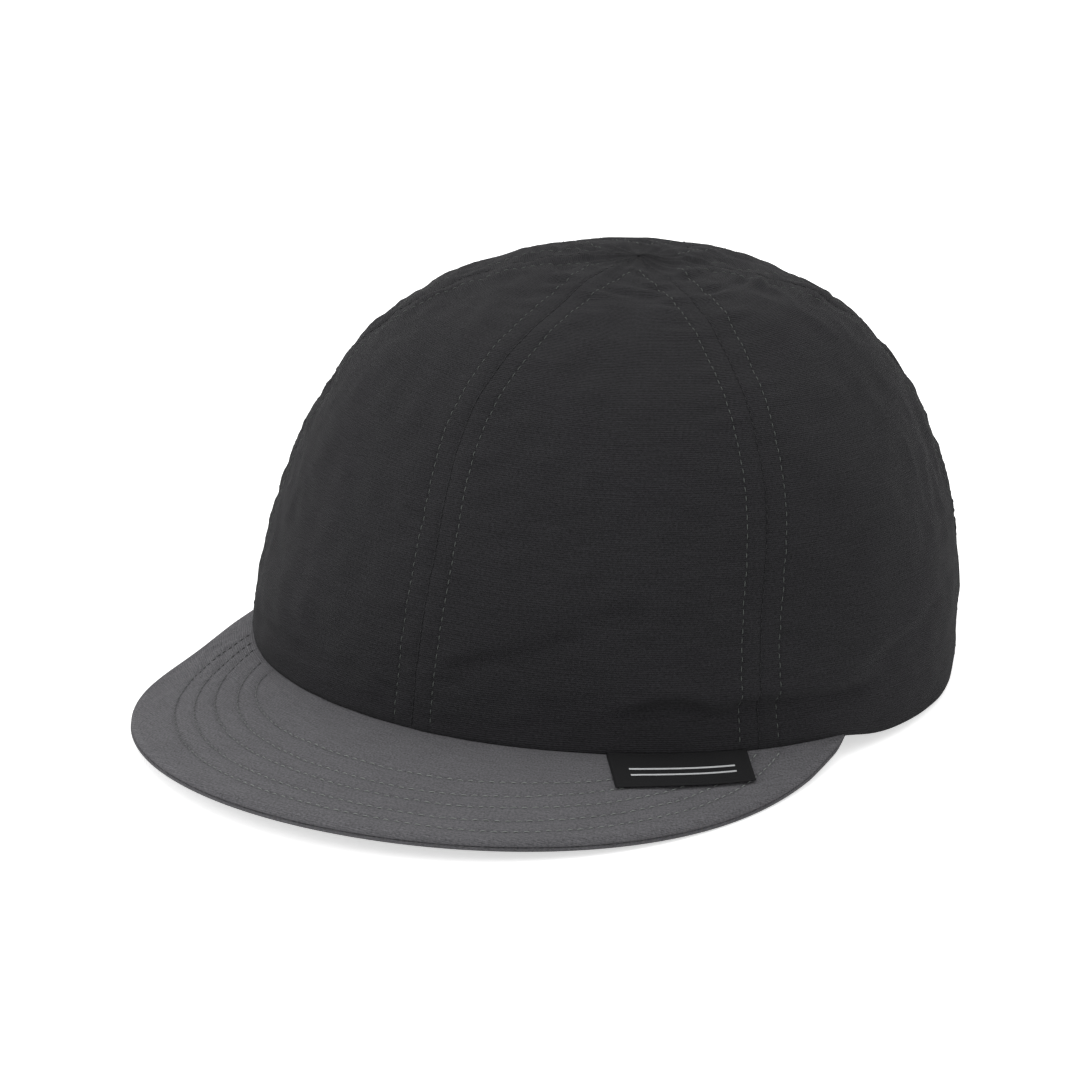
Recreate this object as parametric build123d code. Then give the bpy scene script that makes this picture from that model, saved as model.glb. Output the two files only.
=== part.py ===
from build123d import *
import os
from math import acos, cos, degrees, pi, radians, sin

# A soft six-panel safety cap (bump cap) with a short stitched brim, a hard shell and foam pads
# hidden in the crown, and an elastic drawcord with a cord lock at the back.
# Millimetres and degrees. +Z is up, the brim points along -Y, and the wearer's left is +X.
# The cap is drawn as it rests on a table, z = 0: on the back of its rim and both sides of its brim.
# The origin is the point of the table under the middle of the head opening.

# ---- Driving dimensions -------------------------------------------------------------------
RIM_HALF_WIDTH = 97.5        # outside of the crown at the rim, across the head
RIM_HALF_LENGTH = 93.7       # outside of the crown at the rim, front to back
CROWN_HEIGHT = 105.4         # rim plane to the top of the crown
PLAN_POWER = 2.62            # the crown's side profile is (r / R)^plan + (z / H)^rise = 1
RISE_POWER = 2.33
CROWN_LEAN = 0.118           # how far the crown shifts backwards per mm of height
REST_PITCH = 3.0             # the rim plane tips back this much when the brim stands on the table

SEAM_ANGLES = [-90, -32, 32, 90, 148, 212]     # round the crown from the front centre seam
SEAM_GAP = 0.06              # angle left open each side of a seam
FABRIC = 0.7

# Layers of the crown, as depths below its outer surface: (outer face, inner face)
PANEL_LAYER = (0.0, FABRIC)
TAPE_LAYER = (0.8, 1.3)
SWEATBAND_LAYER = (1.5, 4.3)
CASING_LAYER = (1.4, 5.8)
POCKET_LAYER = (1.5, 7.2)
GROOVE_LAYER = (2.8, 5.7)
SHELL_LAYER = (3.0, 5.5)
PAD_LAYER = (5.8, 12.8)

SWEATBAND_HEIGHT = 34.0
CASING_HEIGHT = 13.5
CASING_TRIM = 0.1            # its lower edge is cut flat this far above the rim
CASING_HALF_ANGLE = 57.5     # the elastic back runs this far each side of the back seam
TAPE_WIDTH = 16.0
TAPE_TOP_RADIUS = 17.0       # the tapes stop here, and a round patch covers the middle
POCKET_LOW = 35.5
POCKET_HIGH = 47.0
SHELL_LOW = 38.2
VENT_RINGS = [(52, 0), (76, 30)]               # radius of each ring of vents, and its turn
VENT_COUNT = 6
VENT_LENGTH = 26.0
VENT_WIDTH = 8.0
PAD_LOW = 54.0
PAD_HIGH = 84.0
PAD_HALF_ANGLE = 27.0
TOP_PAD_RADIUS = 36.0

BRIM_LENGTH = 59.0           # from the rim to the tip, along the brim
BRIM_HALF_ANGLE = 74.5       # where the brim's outline would run into the rim, from the front
BRIM_CUT = 4.0               # the outline is cut off this far before that point
BRIM_FULLNESS = 1.45         # power of the outline: lower is squarer
BRIM_DROOP = 5.1             # slope of the brim at the front
BRIM_SIDE_DROOP = 17.6       # extra slope where the brim ends
BRIM_TUCK = 4.6              # how far the root of the brim reaches in under the crown's edge
BRIM_BOARD = 1.6
BRIM_GAP = 0.1
BOARD_SHARE = 0.95           # the board reaches this share of the way to the covers' edge

LABEL_WIDTH = 40.0
LABEL_DEPTH = 15.0
LABEL_CENTRE = 45.0          # to the wearer's left of the front
LABEL_THICKNESS = 0.8

CORD_RADIUS = 1.25
TUNNEL_RADIUS = 1.65
CORD_HEIGHT = 6.5            # of the cord's centre line
CORD_DEPTH = 3.6             # of the tunnel below the crown's outer surface
CORD_START = 37.5            # where the cord is sewn into the tunnel, round from the side
TUNNEL_START = 36.5
EYELET_OFFSET = 10.6         # each eyelet from the back seam
EYELET_RADIUS = 2.4
EYELET_HOLE = 1.9
EYELET_FLANGE = 3.9
BEND = 3.6                   # room for the cord to turn from the tunnel into its eyelet
STRAND_RISE = 1.6            # the two strands lie one above the other in the lock

LOCK_GAP = 16.5              # from the crown to the lock at rest
LOCK_TRAVEL = 15.0
LOCK_RADIUS = 6.4
LOCK_WALL = 1.5
LOCK_BACK = -11.0            # the barrel's closed end, along X
LOCK_FRONT = 7.0             # its open end
LOOP_LENGTH = 14.0
PLUNGER_CLEARANCE = 0.06
PLUNGER_BACK = -5.5
BUTTON_RADIUS = 6.0
BUTTON_HEIGHT = 2.5
BUTTON_TRAVEL = 3.0
BUTTON_MARGIN = 0.2          # gap left between button and barrel at full press
STRAND_CLEARANCE = 0.1
SPRING_RADIUS = 2.4
SPRING_WIRE = 0.25
SPRING_TURNS = 4
SPRING_POCKET_RADIUS = 3.4
SPRING_POCKET_DEPTH = 3.0

OVAL = RIM_HALF_LENGTH / RIM_HALF_WIDTH
LOCK_CENTRE = RIM_HALF_LENGTH + LOCK_GAP + LOCK_RADIUS


# ---- Shape of the crown ---------------------------------------------------------------------
def wall_point(share, depth):
    """A point of the crown's side profile, from the rim (share 0) to the top (share 1)."""
    turn = share * pi / 2
    radius = RIM_HALF_WIDTH * max(cos(turn), 0) ** (2 / PLAN_POWER)
    height = CROWN_HEIGHT * sin(turn) ** (2 / RISE_POWER)
    out = PLAN_POWER / RIM_HALF_WIDTH * (radius / RIM_HALF_WIDTH) ** (PLAN_POWER - 1)
    up = RISE_POWER / CROWN_HEIGHT * (height / CROWN_HEIGHT) ** (RISE_POWER - 1)
    size = (out**2 + up**2) ** 0.5
    return radius - depth * out / size, height - depth * up / size


def share_where(is_past):
    """The share at which a test of the profile first comes true, found by halving."""
    low, high = 0.0, 1.0
    for _ in range(50):
        middle = (low + high) / 2
        if is_past(middle):
            high = middle
        else:
            low = middle
    return high


def share_at_height(height, depth):
    return share_where(lambda share: wall_point(share, depth)[1] >= height)


def share_at_radius(radius, depth):
    return share_where(lambda share: wall_point(share, depth)[0] <= radius)


def wall_curve(depth, low_share, high_share):
    count = 12
    steps = [low_share + (high_share - low_share) * i / (count - 1) for i in range(count)]
    points = [wall_point(step, depth) for step in steps]
    return Spline(*[(radius, 0, height) for radius, height in points])


def layer(depths, low=0.0, high=None, low_radius=None, high_radius=None, start=0.0, end=360.0):
    """A slice of the crown's wall between two depths, while the crown is still round and upright.

    Its lower edge is at height low, or where the wall has closed in to low_radius; its upper
    edge is at height high, at high_radius, or at the top of the crown.
    """
    curves = []
    for depth in depths:
        low_share = share_at_height(low, depth) if low > 0 else 0.0
        high_share = 1.0
        if low_radius:
            low_share = share_at_radius(low_radius, depth)
        if high:
            high_share = share_at_height(high, depth)
        if high_radius:
            high_share = share_at_radius(high_radius, depth)
        curves.append(wall_curve(depth, low_share, high_share))
    outer, inner = curves
    profile = Face(Wire([outer, Line(outer @ 1, inner @ 1), inner, Line(inner @ 0, outer @ 0)]))
    return Rot(0, 0, start) * revolve(profile, Axis.Z, end - start)


def rest(shape):
    """Tips a shape from the rim's own frame to the way the cap rests, about the back of the rim."""
    return Pos(0, RIM_HALF_LENGTH, 0) * Rot(-REST_PITCH, 0, 0) * Pos(0, -RIM_HALF_LENGTH, 0) * shape


def rest_point(point):
    """The same for a single point."""
    x, y, z = point
    tip = radians(REST_PITCH)
    back = y - RIM_HALF_LENGTH
    return x, RIM_HALF_LENGTH + back * cos(tip) + z * sin(tip), z * cos(tip) - back * sin(tip)


def crown_shape(shape):
    """Turns a round slice of wall into the oval, leaning crown, at rest on the table."""
    lean = Matrix([[1, 0, 0, 0], [0, OVAL, CROWN_LEAN, 0], [0, 0, 1, 0], [0, 0, 0, 1]])
    return rest(shape.transform_geometry(lean))


# ---- Crown: panels, tapes and bands -----------------------------------------------------------
def eyelet_pin(side, radius):
    """A cylinder through the back of the crown where the eyelet on this side sits."""
    pin = Cylinder(radius, 40, rotation=(90, 0, 0))
    return Pos(side * EYELET_OFFSET, RIM_HALF_WIDTH, CORD_HEIGHT) * pin


def crown_panel(index):
    start = SEAM_ANGLES[index]
    end = SEAM_ANGLES[(index + 1) % 6]
    if end < start:
        end += 360
    panel = layer(PANEL_LAYER, start=start + SEAM_GAP, end=end - SEAM_GAP)
    for side in (1, -1):
        panel -= eyelet_pin(side, EYELET_RADIUS + 0.05)
    return crown_shape(panel)


def seam_tape(angle):
    whole = layer(TAPE_LAYER, low=1.0, high_radius=TAPE_TOP_RADIUS)
    strip = Box(150, TAPE_WIDTH, 300, align=(Align.MIN, Align.CENTER, Align.CENTER))
    return crown_shape(whole & (Rot(0, 0, angle) * strip))


def top_patch():
    return crown_shape(layer(TAPE_LAYER, low_radius=TAPE_TOP_RADIUS - 0.8))


def sweatband():
    ends = CASING_HALF_ANGLE + 1.0
    return crown_shape(layer(SWEATBAND_LAYER, high=SWEATBAND_HEIGHT, start=90 + ends, end=450 - ends))


def rear_casing():
    start = 90 - CASING_HALF_ANGLE
    end = 90 + CASING_HALF_ANGLE
    band = crown_shape(layer(CASING_LAYER, high=CASING_HEIGHT, start=start, end=end))
    below = Box(400, 400, 20, align=(Align.CENTER, Align.CENTER, Align.MAX))
    band -= rest(Pos(0, 0, CASING_TRIM) * below)
    for side in (1, -1):
        band -= swept(tunnel_edges(side, TUNNEL_START), TUNNEL_RADIUS)
    return band


def shell_pocket():
    """The ring of fabric in the crown whose groove holds the lower edge of the hard shell."""
    floor = SHELL_LOW - 0.3
    corners = [
        (POCKET_LAYER[0], POCKET_LOW),
        (POCKET_LAYER[0], POCKET_HIGH),
        (GROOVE_LAYER[0], POCKET_HIGH),
        (GROOVE_LAYER[0], floor),
        (GROOVE_LAYER[1], floor),
        (GROOVE_LAYER[1], POCKET_HIGH),
        (POCKET_LAYER[1], POCKET_HIGH),
        (POCKET_LAYER[1], POCKET_LOW),
    ]
    points = [wall_point(share_at_height(height, depth), depth) for depth, height in corners]
    outline = Polyline(*[(radius, 0, height) for radius, height in points], close=True)
    return crown_shape(revolve(Face(Wire(outline.edges())), Axis.Z))


# ---- Protective insert ------------------------------------------------------------------------
def bump_shell():
    shell = layer(SHELL_LAYER, low=SHELL_LOW)
    for radius, turn in VENT_RINGS:
        for i in range(VENT_COUNT):
            slot = extrude(SlotOverall(VENT_LENGTH, VENT_WIDTH), 2 * CROWN_HEIGHT)
            shell -= Rot(0, 0, turn + i * 360 / VENT_COUNT) * Pos(radius, 0, 0) * slot
    return crown_shape(shell)


def crown_pad():
    return crown_shape(layer(PAD_LAYER, low_radius=TOP_PAD_RADIUS))


def side_pad(angle):
    start = angle - PAD_HALF_ANGLE
    end = angle + PAD_HALF_ANGLE
    return crown_shape(layer(PAD_LAYER, low=PAD_LOW, high=PAD_HIGH, start=start, end=end))


# ---- Brim -------------------------------------------------------------------------------------
def brim_point(angle, reach, level):
    """A point of the brim: angle from the front, reach out from the rim, level above its middle.

    The root of the brim, at a negative reach, lies flat under the edge of the crown.
    """
    turn = radians(angle - 90)
    out_x = cos(turn) / RIM_HALF_WIDTH
    out_y = sin(turn) / RIM_HALF_LENGTH
    size = (out_x**2 + out_y**2) ** 0.5
    slope = radians(BRIM_DROOP + BRIM_SIDE_DROOP * (angle / BRIM_HALF_ANGLE) ** 2)
    out = reach
    drop = BRIM_BOARD / 2 + FABRIC + 2 * BRIM_GAP
    if reach > 0:
        out = reach * cos(slope)
        drop += reach * sin(slope)
    x = RIM_HALF_WIDTH * cos(turn) + out * out_x / size
    y = RIM_HALF_LENGTH * sin(turn) + out * out_y / size
    return x, y, level - drop


def brim_reach(angle):
    return BRIM_LENGTH * (1 - (angle / BRIM_HALF_ANGLE) ** 2) ** BRIM_FULLNESS


def brim_sheet(low, high, share=1.0):
    """One sheet of the brim between two levels, reaching a share of the way to the outline."""
    span = BRIM_HALF_ANGLE - BRIM_CUT
    count = 17
    angles = [span * (2 * i / (count - 1) - 1) for i in range(count)]
    root = Spline(*[brim_point(a, -BRIM_TUCK, low) for a in angles])
    crease = Spline(*[brim_point(a, 0, low) for a in angles])
    edge = Spline(*[brim_point(a, share * brim_reach(a), low) for a in angles])
    flat = extrude(Face.make_surface_from_curves(root, crease), high - low, dir=(0, 0, 1))
    slope = extrude(Face.make_surface_from_curves(crease, edge), high - low, dir=(0, 0, 1))
    return rest(flat + slope)


def brim_board():
    return brim_sheet(-BRIM_BOARD / 2, BRIM_BOARD / 2, BOARD_SHARE)


def brim_top_cover():
    low = BRIM_BOARD / 2 + BRIM_GAP
    return brim_sheet(low, low + FABRIC)


def brim_under_cover():
    high = -BRIM_BOARD / 2 - BRIM_GAP
    return brim_sheet(high - FABRIC, high)


def woven_label():
    """A folded label sewn into the seam between crown and brim, lying on the brim."""
    level = BRIM_BOARD / 2 + FABRIC + 2 * BRIM_GAP
    edges = []
    for reach in (0.3, LABEL_DEPTH):
        half = degrees(LABEL_WIDTH / 2 / (RIM_HALF_WIDTH + reach))
        angles = (LABEL_CENTRE - half, LABEL_CENTRE, LABEL_CENTRE + half)
        edges.append(Spline(*[brim_point(a, reach, level) for a in angles]))
    face = Face.make_surface_from_curves(*edges)
    return rest(extrude(face, LABEL_THICKNESS, dir=(0, 0, 1)))


# ---- Drawcord ---------------------------------------------------------------------------------
def tunnel_edges(side, start):
    """The cord's way round the back of the rim and out through the eyelet on this side."""
    across = RIM_HALF_WIDTH - CORD_DEPTH
    turn_in = acos((EYELET_OFFSET + BEND) / across)
    turns = [radians(start) + (turn_in - radians(start)) * i / 8 for i in range(9)]
    back = CROWN_LEAN * CORD_HEIGHT
    points = [(side * across * cos(t), OVAL * across * sin(t) + back, CORD_HEIGHT) for t in turns]
    way_in = (-side * sin(turn_in), OVAL * cos(turn_in), 0)
    way_out = (0, 1, 0)
    exit_point = (side * EYELET_OFFSET, OVAL * across * sin(turn_in) + back + BEND + 1, CORD_HEIGHT)
    round_back = Spline(*points)
    bend = Spline(points[-1], exit_point, tangents=(round_back % 1, way_out))
    return [rest(round_back), rest(bend)]


def strand_edges(side, level):
    """From the eyelet on this side to the straight run through the lock, and along it."""
    exit_edge = tunnel_edges(side, CORD_START)[-1]
    near = LOCK_CENTRE - LOCK_RADIUS - 0.5
    far = LOCK_CENTRE + LOCK_TRAVEL + LOCK_RADIUS + 0.5
    sweep_in = Spline(exit_edge @ 1, (0, near, level), tangents=(exit_edge % 1, (0, 1, 0)))
    return [sweep_in, Line((0, near, level), (0, far, level))]


def loop_edge(top, bottom):
    """The free end of the cord, folded back on itself and lying over to both sides."""
    y = LOCK_CENTRE + LOCK_TRAVEL + LOCK_RADIUS + 0.5
    points = [
        (0, y, top),
        (4.5, y + 0.6 * LOOP_LENGTH, top - 1.2),
        (0, y + LOOP_LENGTH, CORD_HEIGHT - 0.8),
        (-4.5, y + 0.6 * LOOP_LENGTH, bottom + 0.4),
        (0, y, bottom),
    ]
    return Spline(*points, tangents=((0, 1, 0), (0, -1, 0)))


def swept(edges, radius):
    """A round cord of the given radius along a run of edges."""
    path = Wire(edges)
    plane = Plane(origin=path @ 0, z_dir=path % 0)
    return sweep(plane * Circle(radius), path=path)


def drawcord():
    top = CORD_HEIGHT + STRAND_RISE
    bottom = CORD_HEIGHT - STRAND_RISE
    left = tunnel_edges(1, CORD_START) + strand_edges(1, top)
    right = tunnel_edges(-1, CORD_START) + strand_edges(-1, bottom)
    return swept(left + [loop_edge(top, bottom)] + right[::-1], CORD_RADIUS)


def eyelet(side):
    """A flanged ring let into the back of the crown, following its curve."""
    around = dict(low=1, high=13, start=75, end=105)
    tube = layer((-0.9, 1.25), **around) & eyelet_pin(side, EYELET_RADIUS)
    flange = layer((-0.9, -0.1), **around) & eyelet_pin(side, EYELET_FLANGE)
    return crown_shape(tube + flange - eyelet_pin(side, EYELET_HOLE))


# ---- Cord lock --------------------------------------------------------------------------------
def rod(radius, start, end):
    """A cylinder along X on the lock's centre line."""
    body = Cylinder(radius, end - start, rotation=(0, 90, 0))
    return Pos((start + end) / 2, LOCK_CENTRE, CORD_HEIGHT) * body


def strand_slot(start, end):
    """The hole across the lock that both strands run through."""
    height = 2 * (STRAND_RISE + CORD_RADIUS + STRAND_CLEARANCE)
    body = Box(end - start, 4 * LOCK_RADIUS, height)
    return Pos((start + end) / 2, LOCK_CENTRE, CORD_HEIGHT) * body


def cord_lock_barrel():
    grip = CORD_RADIUS + STRAND_CLEARANCE
    barrel = rod(LOCK_RADIUS, LOCK_BACK, LOCK_FRONT)
    barrel = fillet(barrel.edges(), 0.8)
    barrel -= rod(LOCK_RADIUS - LOCK_WALL, LOCK_BACK + LOCK_WALL, LOCK_FRONT + 1)
    return barrel - strand_slot(-grip - BUTTON_TRAVEL, grip)


def cord_lock_button():
    """The plunger: its slot lines up with the barrel's when the button is pressed right in."""
    grip = CORD_RADIUS + STRAND_CLEARANCE
    radius = LOCK_RADIUS - LOCK_WALL - PLUNGER_CLEARANCE
    head = LOCK_FRONT + BUTTON_TRAVEL + BUTTON_MARGIN
    button = rod(BUTTON_RADIUS, head, head + BUTTON_HEIGHT)
    button = fillet(button.edges().sort_by(Axis.X)[-1], 1.0)
    button += rod(radius, PLUNGER_BACK, head)
    button -= strand_slot(-grip, grip + BUTTON_TRAVEL)
    return button - rod(SPRING_POCKET_RADIUS, PLUNGER_BACK - 1, PLUNGER_BACK + SPRING_POCKET_DEPTH)


def cord_lock_spring():
    start = LOCK_BACK + LOCK_WALL + SPRING_WIRE + 0.05
    end = PLUNGER_BACK + SPRING_POCKET_DEPTH - SPRING_WIRE - 0.05
    length = end - start
    coil = Helix(length / SPRING_TURNS, length, SPRING_RADIUS)
    wire = sweep(Plane(origin=coil @ 0, z_dir=coil % 0) * Circle(SPRING_WIRE), path=coil)
    return Pos(start, LOCK_CENTRE, CORD_HEIGHT) * Rot(0, 90, 0) * wire


# ---- Every piece by name ----------------------------------------------------------------------
PANELS = [
    "front_left_panel",
    "side_left_panel",
    "rear_left_panel",
    "rear_right_panel",
    "side_right_panel",
    "front_right_panel",
]
TAPES = [
    "front_seam_tape",
    "front_left_seam_tape",
    "rear_left_seam_tape",
    "rear_seam_tape",
    "rear_right_seam_tape",
    "front_right_seam_tape",
]
PADS = {"front_pad": -90, "left_pad": 0, "rear_pad": 90, "right_pad": 180}


def all_parts():
    parts = {}
    for index, name in enumerate(PANELS):
        parts[name] = crown_panel(index)
    for angle, name in zip(SEAM_ANGLES, TAPES):
        parts[name] = seam_tape(angle)
    parts["top_patch"] = top_patch()
    parts["sweatband"] = sweatband()
    parts["rear_casing"] = rear_casing()
    parts["shell_pocket"] = shell_pocket()
    parts["bump_shell"] = bump_shell()
    parts["crown_pad"] = crown_pad()
    for name, angle in PADS.items():
        parts[name] = side_pad(angle)
    parts["brim_top_cover"] = brim_top_cover()
    parts["brim_board"] = brim_board()
    parts["brim_under_cover"] = brim_under_cover()
    parts["woven_label"] = woven_label()
    parts["drawcord"] = drawcord()
    parts["left_eyelet"] = eyelet(1)
    parts["right_eyelet"] = eyelet(-1)
    parts["cord_lock_barrel"] = cord_lock_barrel()
    parts["cord_lock_button"] = cord_lock_button()
    parts["cord_lock_spring"] = cord_lock_spring()
    return parts


os.makedirs("parts", exist_ok=True)
for part_name, part_shape in all_parts().items():
    export_step(part_shape, f"parts/{part_name}.step")
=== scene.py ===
import bmesh
import bpy
import numpy as np
from math import cos, pi, radians, sin
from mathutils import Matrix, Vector


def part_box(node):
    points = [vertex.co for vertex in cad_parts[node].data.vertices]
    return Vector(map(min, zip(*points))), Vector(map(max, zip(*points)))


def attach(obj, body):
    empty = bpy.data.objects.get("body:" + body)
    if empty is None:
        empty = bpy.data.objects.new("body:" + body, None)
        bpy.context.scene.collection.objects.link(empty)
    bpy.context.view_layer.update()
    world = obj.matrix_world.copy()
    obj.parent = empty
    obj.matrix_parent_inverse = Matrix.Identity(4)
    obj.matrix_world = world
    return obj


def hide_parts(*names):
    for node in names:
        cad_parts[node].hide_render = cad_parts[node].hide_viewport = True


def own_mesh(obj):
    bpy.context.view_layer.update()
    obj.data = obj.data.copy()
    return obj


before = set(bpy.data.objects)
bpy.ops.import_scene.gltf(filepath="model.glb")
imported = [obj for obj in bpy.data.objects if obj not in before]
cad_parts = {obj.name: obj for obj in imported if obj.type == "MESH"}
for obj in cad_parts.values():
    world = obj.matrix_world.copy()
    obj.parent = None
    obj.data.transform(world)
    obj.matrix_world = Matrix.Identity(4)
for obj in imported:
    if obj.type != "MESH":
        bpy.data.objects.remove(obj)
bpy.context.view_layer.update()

# ---- The crown's shape, as in the CAD model ---------------------------------------------------
# Lengths are in mm until a mesh is made. Angles round the crown start at the wearer's left and pass
# the back at 90 degrees.
MM = 0.001
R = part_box("side_left_panel")[1].x / MM          # rim, half width
OVAL = 93.7 / 97.5                               # length over width
B = R * OVAL                                     # rim, half length
HEIGHT = 105.4
WIDTH_POWER, HEIGHT_POWER = 2.62, 2.33           # of the superellipse that is the crown's profile
LEAN = 0.118                                     # how far the crown moves back for each mm up
PITCH = radians(3.0)                             # the brim lifts the front of the rim
SEAMS = np.radians([-90.0, -32.0, 32.0, 90.0, 148.0, 212.0])
FABRIC = 0.7
ROW = 5.7                                        # how far the topstitch rows are from each seam
CORD_Z, EYELET_X = 6.5, 10.6
rng = np.random.default_rng(7)


def wall(s, depth=0.0):
    """Radius and height at share s of the way up the profile, moved inward by depth."""
    t = np.clip(s, 0, 1) * pi / 2
    r = R * np.maximum(np.cos(t), 0) ** (2 / WIDTH_POWER)
    z = HEIGHT * np.sin(t) ** (2 / HEIGHT_POWER)
    out = WIDTH_POWER / R * (r / R) ** (WIDTH_POWER - 1)
    up = HEIGHT_POWER / HEIGHT * (z / HEIGHT) ** (HEIGHT_POWER - 1)
    size = np.hypot(out, up)
    return r - depth * out / size, z - depth * up / size


def rest(x, y, z):
    """Tips a point of the upright cap about the back of its rim, so that its brim is on the table."""
    back = y - B
    return np.stack([x, B + back * cos(PITCH) + z * sin(PITCH), z * cos(PITCH) - back * sin(PITCH)], -1)


def bell(x, width):
    """1 at x = 0, falling smoothly to nothing on either side."""
    return np.exp(-(x / width) ** 2)


def step(x):
    """A soft change from 0, well below x = 0, to 1, well above it."""
    return 1 / (1 + np.exp(-x))


def turned(th, centre):
    """The angle from centre to th, between minus and plus half a turn."""
    return (th - centre + pi) % (2 * pi) - pi


SAG_FROM_BACK, SAG_TALL, SAG_MOST = radians(103), 26.0, 3.1


def sag(th, z):
    """The soft rim behind the brim's ends hangs down nearly to the table."""
    from_back = np.abs(turned(th, pi / 2))
    gap = (B - B * np.cos(from_back)) * sin(PITCH)
    behind = step(np.degrees(SAG_FROM_BACK - from_back) / 2.5)
    return np.clip(gap - 0.5, 0, SAG_MOST) * behind * np.clip(1 - z / SAG_TALL, 0, 1) ** 1.5


# Where seams bow to the wearer's right: angle and its spread, height and its spread, shift in radians
SEAM_BOWS = [(-90, 30, 80, 24, 0.06), (-32, 22, 24, 32, 0.036)]


def place(r, th, z):
    """The point at radius r, angle th and height z of the cap as it lies on the table."""
    for seam, spread, height, tall, shift in SEAM_BOWS:
        th = th - shift * bell(turned(th, radians(seam)), radians(spread)) * bell(z - height, tall)
    return rest(r * np.cos(th), OVAL * r * np.sin(th) + LEAN * z, z - sag(th, z))


# The profile's share s against its radius, its height and the length of cloth up from the rim
S_TABLE = np.linspace(0, 1, 2001)
R_TABLE, Z_TABLE = wall(S_TABLE)
V_TABLE = np.concatenate([[0], np.cumsum(np.hypot(np.diff(R_TABLE), np.diff(Z_TABLE)))])
TOP = V_TABLE[-1]


def s_at_z(z):
    return np.interp(z, Z_TABLE, S_TABLE)


def s_at_r(r):
    return np.interp(-r, -R_TABLE, S_TABLE)


def s_at_arc(v):
    return np.interp(v, V_TABLE, S_TABLE)


def arc(s):
    return np.interp(s, S_TABLE, V_TABLE)


def waves(count, seed):
    """Directions and starts of the waves that noise adds up, the same for the same seed."""
    g = np.random.default_rng(seed)
    k = g.normal(size=(count, 3))
    k /= np.linalg.norm(k, axis=1)[:, None]
    return k * g.uniform(0.7, 1.4, (count, 1)), g.uniform(0, 2 * pi, count)


def noise(p, length, seed, count=14):
    """Smooth unevenness over points p, with features about this long."""
    k, phase = waves(count, seed)
    return np.cos(p @ k.T * (2 * pi / length) + phase).sum(-1) / (count / 2) ** 0.5


def seam_distance(th, r):
    """Distance to the nearest seam, and that seam's number."""
    delta = turned(th[..., None], SEAMS)
    d = np.where(np.abs(delta) < pi / 2, r[..., None] * np.abs(np.sin(delta)), 1e3)
    return d.min(-1), d.argmin(-1)


# Where the soft crown is fuller or drawn in: angle and its spread, height and its spread, amount
SLUMP = [(-150, 32, 78, 17, 1.1), (-147, 30, 32, 20, -0.9), (33, 30, 66, 17, -1.0), (33, 32, 20, 24, 1.0),
         (60, 40, 97, 9, 0.8), (20, 50, 98, 9, 0.6)]
# Slack folds: angle and its spread, height, amount, rise in mm for each degree
FOLDS = [(-32.5, 27, 13.4, 1.6, 0.0), (-128, 15, 11.0, 0.35, 0.1), (205, 14, 14.0, 0.4, 0.0),
         (-75, 13, 25.0, 0.7, 0.55), (-62, 12, 36.0, 0.35, 0.3), (-4, 16, 22.0, 0.5, 0.45)]
# Where fine sharp creases show: angle and its spread
CRINKLED = [(42, 34), (-155, 28)]
# The gather at the top: how many waves go round, and where each starts
SPOKES = [(5, 0.4), (8, 2.0), (13, 1.1), (19, 4.0)]


def round_bell(th, angle, spread):
    """A bump round the crown, its place and spread given in degrees."""
    return bell(turned(th, radians(angle)), radians(spread))


def wrinkles(p, th, z, top):
    """Broad unevenness, soft creases round the top, and finer ones in a few places."""
    h = 0.45 * noise(p, 75, 1) + 0.24 * noise(p, 30, 2) * (0.6 + 0.8 * bell(top, 50))
    h += 0.13 * noise(p * (1, 1, 2.4), 15, 3)
    crease = 1 - np.abs(noise(p * (1, 1, 1.6), 34, 6))
    h += 0.42 * np.clip(crease, -0.5, 1) * bell(top - 30, 24)
    crinkle = 0.5 - np.abs(noise(p * (1.3, 1.3, 0.8), 17, 8))
    for angle, spread in CRINKLED:
        h += 0.5 * crinkle * round_bell(th, angle, spread) * np.clip(z / 25, 0, 1)
    return h


def slump(th, z, top, from_seam):
    """The way the crown lies: fuller or drawn in at places, and flatter between its seams."""
    h = 0.6 * bell(top, 55) - 0.7 * np.clip(from_seam / 40, 0, 1) ** 1.5 * bell(top - 45, 45)
    for angle, spread, height, tall, amount in SLUMP:
        h += amount * round_bell(th, angle, spread) * bell(z - height, tall)
    return h


def puckers(p, v, top, from_seam, seam):
    """Small puckers that run out from the seams."""
    wave = np.sin(2 * pi * v / 8.3 + 2.2 * noise(p, 40, 4)) + 0.6 * np.sin(2 * pi * v / 5.1 + seam)
    return wave * bell(from_seam - 8.5, 5.5) * (0.14 * np.clip(top / 25, 0, 1) + 0.34 * bell(top - 26, 14))


def top_gather(th, top):
    """The six seams meet in a small gather at the top."""
    spokes = sum(np.cos(count * th + start) for count, start in SPOKES)
    return 0.16 * spokes * bell(top - 14, 10) - 0.4 * bell(top - 9, 6) + 0.3 * bell(top, 5)


def slack_folds(th, z):
    """Above the rim the cloth hangs over a soft crease and is tucked in below it."""
    h = 0.0
    for angle, spread, height, amount, slope in FOLDS:
        turn = np.degrees(turned(th, radians(angle)))
        window = np.clip(1.25 - 1.25 * (turn / spread) ** 4, 0, 1) ** 2
        level = z - height - slope * turn
        if amount > 1:
            # the largest fold wanders: up at its end, over a hump and through a dip
            level += 4.0 * bell(turn / spread + 1, 0.2) + 2.2 * bell(turn + 7, 3) - 0.9 * bell(turn + 15, 5)
        above = step(level / 0.6)
        h += amount * window * (above * bell(level, 8.0) - 0.9 * (1 - above) * bell(level, 6.0))
    return h


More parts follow.
